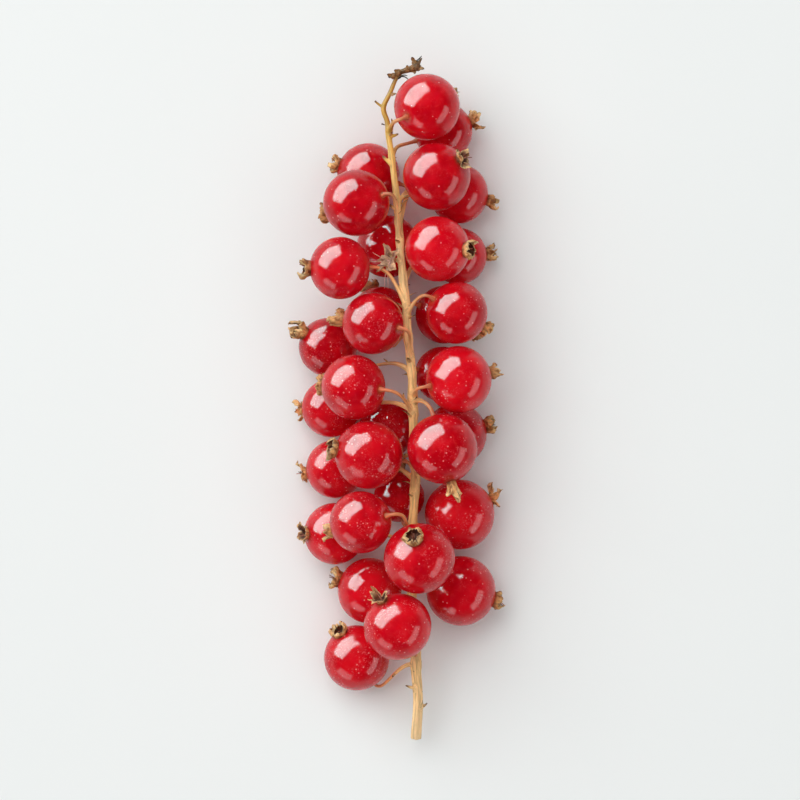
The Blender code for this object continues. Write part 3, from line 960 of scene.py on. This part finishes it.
# How each style is shaped, in millimetres and degrees: neck radius, wall height, lobe length,
# lean of the wall and of the lobes outward, and how strongly it is crumpled
STYLES = {
    "ring": (1.05, 0.72, 1.10, 38, -88, 0.40),
    "star": (0.75, 0.45, 1.30, 35, 66, 0.50),
    "tuft": (0.80, 0.85, 1.10, 18, -18, 0.52),
    "tube": (0.62, 1.75, 0.90, 8, 14, 0.34),
}
LOBES = 5
WALL_THICKNESS = 0.13
FLOWER_SIZE = (0.88, 1.10)             # by chance, as shares of the style's measures
LOBE_LEFT = (0.30, 1.20)               # how much of each lobe is left
LOBE_BEND = (-38, 38)                  # degrees
PLEAT = 0.10
FOOT_DEPTH = 0.28                      # how far the foot goes into the berry, in millimetres
FLOOR_HEIGHT = 0.10
FLOWER_TONE = (0.75, 1.05)
WALL_TINT = (0.74, 0.38, 0.145)
RIM_TINT = (0.92, 0.58, 0.28)
FOOT_TINT = (0.40, 0.11, 0.04)
# Inside the cup, darkest at its bottom: painted shade in the hollow
HOLLOW_SHADE_TINT = (0.13, 0.035, 0.015)
BLOTCH = (0.40, 0.26, 0.18)            # how much of each colour is left in a dark blotch
STAMENS = (3, 5)
STAMEN_LEAN = (35, 80)                 # degrees
STAMEN_LENGTH = (0.7, 1.5)
STAMEN_BEND = (-0.3, 0.3)
STAMEN_RADII = (0.10, 0.07, 0.06, 0.045)
STAMEN_TINTS = ((0.20, 0.07, 0.04), (0.45, 0.14, 0.09), (0.07, 0.035, 0.02))


def wall_path(length, wall, lean, lobe_lean, neck):
    """Distances from the axis and heights of points up a wall and the lobe above it."""
    steps = np.linspace(0, length, WALL_ROWS)
    over = smoothstep((steps - wall * 0.7) / max(length - wall * 0.7, 0.05))
    angle = np.radians(lean * smoothstep(steps / 0.5) + (lobe_lean - lean) * over)
    reach = neck + np.concatenate(([0], np.cumsum(np.sin(angle[1:]) * np.diff(steps))))
    height = np.concatenate(([0], np.cumsum(np.cos(angle[1:]) * np.diff(steps))))
    across = np.column_stack((np.cos(angle), -np.sin(angle)))
    return np.column_stack((reach, height)), across


def crown(style, chance):
    """A dried flower on +Z with its foot at zero: points, faces, tints and fibre places."""
    neck, wall, lobe_length, lean, lobe_lean, crumple = STYLES[style]
    size = chance.uniform(*FLOWER_SIZE)
    neck, wall, lobe_length = neck * size, wall * size, lobe_length * size
    seed = chance.uniform(0, 100)
    turns = np.arange(FLOWER_COLUMNS) * math.tau / FLOWER_COLUMNS
    left = [chance.uniform(*LOBE_LEFT) for _ in range(LOBES)]
    bends = [chance.uniform(*LOBE_BEND) for _ in range(LOBES)]
    thick = WALL_THICKNESS * np.linspace(1.0, 0.35, WALL_ROWS)[:, None]
    pleated = smoothstep(np.arange(WALL_ROWS) / WALL_ROWS)
    outer, inner = [], []
    for turn in turns:
        lobe_turn = turn / math.tau * LOBES
        lobe = int(round(lobe_turn)) % LOBES
        off = abs(lobe_turn - round(lobe_turn)) * 2
        torn = 0.10 * math.sin(13 * turn + seed) * (1 - off)
        lobe_share = (1 - off ** 2.2) * left[lobe] + torn
        length = wall + lobe_length * lobe_share
        path, across = wall_path(length, wall, lean, lobe_lean + bends[lobe] * lobe_share, neck)
        pleat = 1 + PLEAT * math.cos(2 * LOBES * turn + seed) * pleated
        spot = np.array((math.cos(turn), math.sin(turn)))
        for wall_list, side in ((outer, 0.5), (inner, -0.5)):
            place = path + across * thick * side
            reach = np.maximum(place[:, 0] * pleat, 0.12)
            wall_list.append(np.column_stack((reach[:, None] * spot, place[:, 1])))
    outer, inner = np.array(outer), np.array(inner)
    # Rings: the foot below the skin, the outer wall up, the inner wall down, the floor
    foot = outer[:, 0] * (0.92, 0.92, 0) + (0, 0, -FOOT_DEPTH)
    floor = inner[:, 0] * (0.55, 0.55, 0) + (0, 0, FLOOR_HEIGHT)
    rings = [foot] + [outer[:, row] for row in range(WALL_ROWS)]
    rings += [inner[:, row] for row in reversed(range(WALL_ROWS))] + [floor]
    points = np.vstack(rings + [np.array(((0, 0, -0.30), (0, 0, 0.12)))])
    middle = 0.5 * (outer + inner)
    bases = [middle[:, 0]] + [middle[:, row] for row in range(WALL_ROWS)]
    bases += [middle[:, row] for row in reversed(range(WALL_ROWS))] + [middle[:, 0]]
    bases = np.vstack(bases + [np.zeros((2, 3))])
    rise = np.clip(bases[:, 2] / (wall + 0.5 * lobe_length), 0, 1.2)[:, None]
    shifts = (waves(bases, 0.9, seed) * 1.25 + waves(bases, 2.4, seed + 7) * 0.60
              + waves(bases, 5.5, seed + 11) * 0.22) * crumple
    points += shifts * rise
    faces = closed_faces(len(rings), FLOWER_COLUMNS)
    # Tints: tan outside, paler at the rim, and dark and reddish within, darkest towards the bottom
    # of the cup: painted shade in its hollow
    tone = chance.uniform(*FLOWER_TONE)
    tan, rim = np.array(WALL_TINT) * tone, np.array(RIM_TINT) * tone
    foot_tint, dark = np.array(FOOT_TINT), np.array(HOLLOW_SHADE_TINT)
    up = np.linspace(0, 1, WALL_ROWS)
    outside = blend(blend(foot_tint, tan, smoothstep(up * 3)), rim, smoothstep((up - 0.55) / 0.4))
    # Painted shade: the inner wall is darkest at the bottom of the cup and lightens towards the
    # rim
    inside = blend(dark, rim, smoothstep((up - 0.45) / 0.5))
    tints = [foot_tint] + list(outside) + list(inside[::-1]) + [dark]
    tints = np.vstack([np.repeat(tint[None, :], FLOWER_COLUMNS, axis=0) for tint in tints]
                      + [foot_tint[None, :], dark[None, :]])
    blotch = waves(bases, 1.5, seed + 3)[:, 0] + 0.5 * waves(bases, 4.5, seed + 5)[:, 1]
    tints = blend(tints, tints * BLOTCH, smoothstep((blotch - 0.02) * 2.6))
    fibre = bases * (1.0, 1.0, 0.3) + seed
    return points, faces, tints, fibre


def make_flower(number, berries, finish):
    """A berry's dried flower: its crumpled crown, and the stamens left in it."""
    middle, radius, axis = berries[number]
    chance = random.Random(number * 101)
    style = FLOWER_STYLES.get(number) or chance.choice(("ring", "star", "tuft"))
    shape = Shape()
    shape.add(*crown(style, chance))
    for _ in range(chance.randint(*STAMENS)):
        turn = chance.uniform(0, 360)
        lean = chance.uniform(*STAMEN_LEAN)
        length = chance.uniform(*STAMEN_LENGTH)
        bend = np.array((chance.uniform(*STAMEN_BEND), chance.uniform(*STAMEN_BEND), 0.0))
        way = heading(turn, lean)
        points = [way * length * share + bend * share ** 2 + (0, 0, 0.08)
                  for share in (0, 0.33, 0.66, 1.0)]
        tint = chance.choice(STAMEN_TINTS)
        add_thread(shape, points, STAMEN_RADII, tint, chance.uniform(0, 50))
    pole = middle + axis * radius * 0.985
    turn = np.array(Vector(axis).to_track_quat("Z", "Y").to_matrix())
    points = shape.all_points() @ turn.T + pole
    points = keep_off_berries(points, berries, own=number)
    name = f"dried_flower_{number:02d}"
    replaced = [name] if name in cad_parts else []
    add_piece(f"{name}_crown", points, shape.faces, finish, replaced,
              shape.attributes(), pole)


# ------------------------------------------------------------------ studio

VIEW_ACROSS = 0.106          # metres of the floor that the picture shows
CAMERA_HEIGHT = 0.60
FLOOR_SIZE = 5.0
LIGHT_DISTANCE = 1.10


def add_camera():
    """A camera straight above the sprig, far enough off to see it almost without perspective."""
    data = bpy.data.cameras.new("camera")
    data.sensor_width = 36.0
    middle_height = 0.5 * cad_high[2]
    data.lens = data.sensor_width * (CAMERA_HEIGHT - middle_height) / VIEW_ACROSS
    data.clip_start = 0.01
    data.clip_end = 10.0
    camera = bpy.data.objects.new("camera", data)
    camera.location = (0.0, 0.0, CAMERA_HEIGHT)
    bpy.context.scene.collection.objects.link(camera)
    bpy.context.scene.camera = camera


def add_softbox(name, turn, rise, width, height, brightness, only=None, colour=(1, 1, 1)):
    """A rectangular light at a heading and rise in degrees, facing the sprig.

    only says whether it is seen just in reflections ("gloss") or just lights what it reaches
    ("fill"), so that each can be set by itself, as with flags and grids in a studio.
    """
    data = bpy.data.lights.new(name, "AREA")
    data.shape = "RECTANGLE"
    data.size = width
    data.size_y = height
    data.energy = brightness * math.pi * width * height
    data.color = colour
    light = bpy.data.objects.new(name, data)
    towards = Vector(heading(turn, rise))
    light.location = towards * LIGHT_DISTANCE
    light.rotation_euler = towards.to_track_quat("Z", "Y").to_euler()
    light.visible_diffuse = only != "gloss"
    light.visible_glossy = only != "fill"
    bpy.context.scene.collection.objects.link(light)


def add_floor():
    """A plain pale floor with no gloss, so that it doesn't mirror the reflected lights."""
    made, tree, shader = new_material("pale_floor")
    place = add_node(tree, "ShaderNodeTexCoord").outputs["Object"]
    cloud = noise_at(tree, place, 9.0, 3.0)
    colour = mix_colour(tree, cloud, (0.80, 0.83, 0.82, 1), (0.84, 0.86, 0.85, 1))
    put(tree, shader.inputs["Base Color"], colour)
    shader.inputs["Roughness"].default_value = 0.7
    shader.inputs["Specular IOR Level"].default_value = 0.0
    mesh = bpy.data.meshes.new("floor")
    half = FLOOR_SIZE / 2
    mesh.from_pydata([(-half, -half, 0), (half, -half, 0), (half, half, 0), (-half, half, 0)], [],
                     [(0, 1, 2, 3)])
    mesh.materials.append(made)
    floor = bpy.data.objects.new("floor", mesh)
    bpy.context.scene.collection.objects.link(floor)


def add_studio():
    """The floor, a dim sky that is lighter near the horizon, and the lights."""
    add_floor()
    world = bpy.data.worlds.new("studio")
    world.use_nodes = True
    tree = world.node_tree
    way = add_node(tree, "ShaderNodeTexCoord").outputs["Generated"]
    upward = add_node(tree, "ShaderNodeSeparateXYZ", Vector=way).outputs["Z"]
    background = tree.nodes["Background"]
    background.inputs["Color"].default_value = (0.95, 0.98, 1.0, 1.0)
    put(tree, background.inputs["Strength"], spread(tree, upward, 0.0, 0.4, 0.30, 0.02))
    bpy.context.scene.world = world
    add_softbox("key", 134, 48, 1.20, 1.20, 2.2, "fill")
    add_softbox("overhead", 0, 88, 2.60, 2.60, 0.90, "fill")
    add_softbox("key_window", 133, 25, 1.90, 1.10, 15.5, "gloss", (0.62, 1.0, 0.99))
    add_softbox("right_window", -28, 23, 1.20, 0.46, 3.3, "gloss")
    add_softbox("left_window", 234, 14, 0.80, 0.50, 3.0, "gloss")
    bpy.context.scene.view_settings.view_transform = "Standard"


# ------------------------------------------------------------------ the sprig

add_camera()
add_studio()
shift = stem_shift()
stem = smooth_points(STEM_ROUTE, 10)
stem[:, :3] += shift
numbers = range(1, len(STALK_PLACES) + 1)
berries = {number: berry_facts(f"berry_{number:02d}") for number in numbers}

skin = berry_material()
bark = tinted_material("stem_bark", 0.55, 3.2, 0.05, dots=True)
dry = tinted_material("dry_scale", 0.75, 3.6, 0.06)
withered = tinted_material("dried_flower", 0.8, 3.4, 0.08)

for number, facts in berries.items():
    make_berry(number, facts, skin)
    make_flower(number, berries, withered)
make_stem(stem, shift, berries, bark)
make_bracts(stem, shift, berries, dry)
make_withered_tip(shift, berries, dry)
